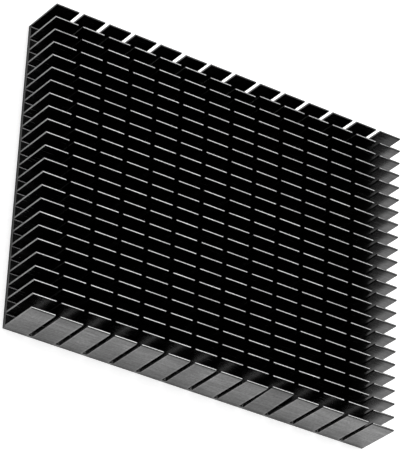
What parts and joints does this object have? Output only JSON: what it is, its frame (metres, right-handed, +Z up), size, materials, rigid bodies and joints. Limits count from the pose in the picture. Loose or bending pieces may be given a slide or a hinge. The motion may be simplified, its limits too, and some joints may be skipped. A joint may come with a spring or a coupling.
{
  "type": "heat sink",
  "caption": "Plate-fin heat sink of black anodised extruded aluminium: thin upright fins on a thin flat base, sawn across into short segments, to give off heat to the air.",
  "frame": {"origin": "middle of the flat back of the base, which lies on the ground", "axes": "+Z up from the base along the height of the fins, +X along the fins, +Y across them"},
  "size_m": [0.1876, 0.1504, 0.024],
  "materials": {
    "black_anodised": "black anodised, satin"
  },
  "bodies": {
    "root": {"heat_sink": "black_anodised"}
  },
  "joints": []
}
